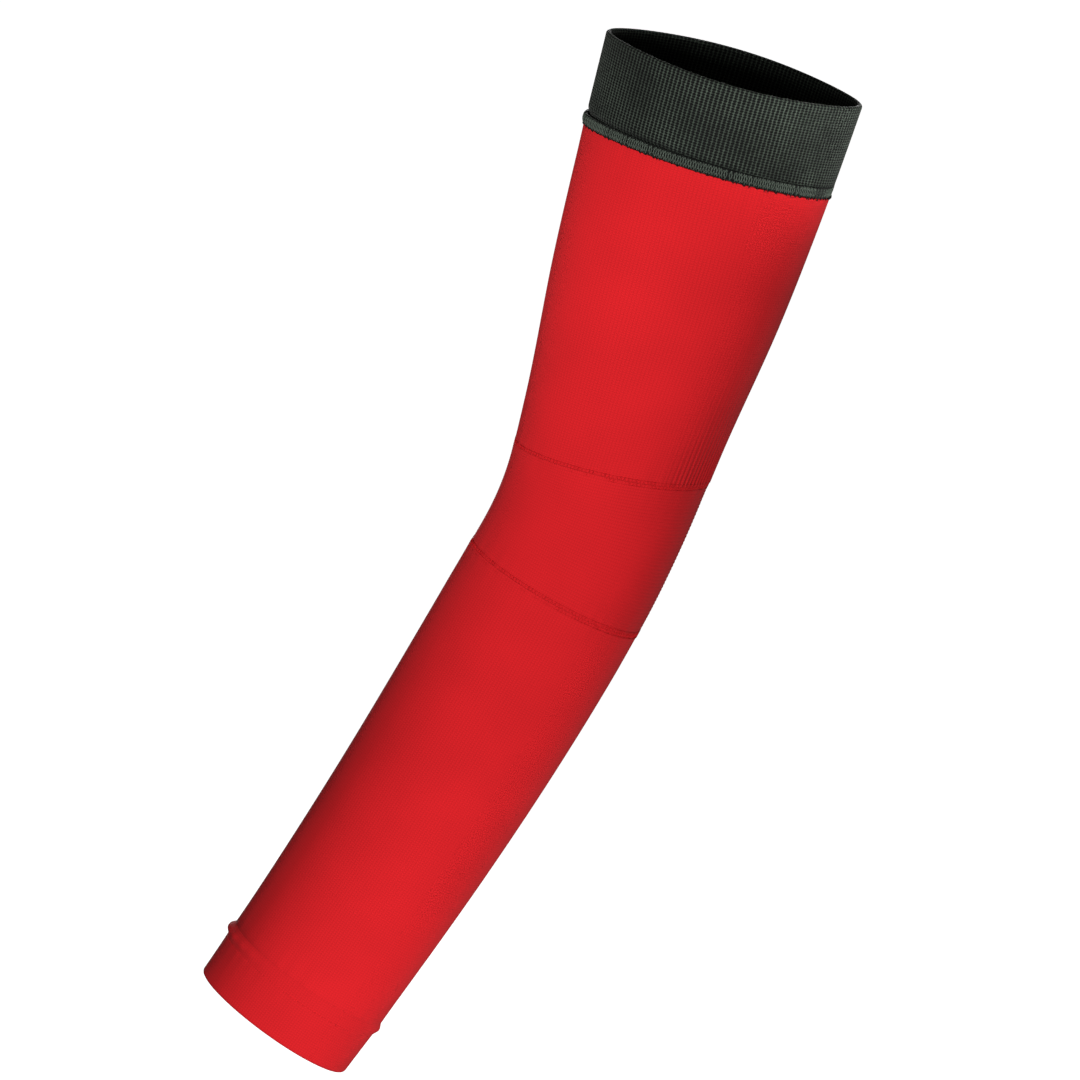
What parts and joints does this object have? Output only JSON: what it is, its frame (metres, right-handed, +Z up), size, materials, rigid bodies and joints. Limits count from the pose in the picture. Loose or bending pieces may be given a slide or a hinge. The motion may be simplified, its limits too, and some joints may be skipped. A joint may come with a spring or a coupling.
{
  "type": "knit arm sleeve",
  "caption": "Pull-on knit arm sleeve for biceps to wrist, with a folded elastic grip band, a shaped elbow panel and a folded wrist cuff.",
  "frame": {"origin": "centre of the upper opening, in the plane of the band's folded top edge", "axes": "+Z up the upper arm towards the shoulder; -X towards the crook of the elbow and +X towards its outer side; Y across the arm"},
  "size_m": [0.1547, 0.0882, 0.4363],
  "materials": {
    "knit": "matt fine polyester and elastane knit, plain red",
    "knit_thread": "matt overlock and flatlock thread, red",
    "elastic": "matt waffle-woven elastic, charcoal with a green cast",
    "dark_thread": "matt overlock thread, near black",
    "silicone": "satin silicone print, near black",
    "label": "blank satin-woven label"
  },
  "bodies": {
    "upper_arm": {"gripper_band": "elastic", "band_seam_roll": "elastic", "band_border_stitch": "dark_thread", "band_inner_overlock": "dark_thread", "band_closing_seam": "dark_thread", "silicone_strip_upper": "silicone", "silicone_strip_lower": "silicone", "upper_arm_panel": "knit", "upper_arm_long_seam": "knit_thread", "upper_elbow_seam": "knit_thread", "elbow_panel": "knit", "elbow_long_seam": "knit_thread", "care_label": "label"},
    "forearm": {"lower_elbow_seam": "knit_thread", "forearm_panel": "knit", "forearm_long_seam": "knit_thread", "wrist_seam_roll": "knit", "wrist_inner_overlock": "knit_thread", "wrist_cuff": "knit", "cuff_closing_seam": "knit_thread"}
  },
  "joints": [
    {"name": "elbow_flex", "type": "hinge", "parent": "upper_arm", "child": "forearm", "pos_m": [-0.013, 0, -0.193], "axis": [0, 1, 0], "range_deg": [-13, 68], "deforming": ["elbow_panel", "elbow_long_seam"]}
  ]
}
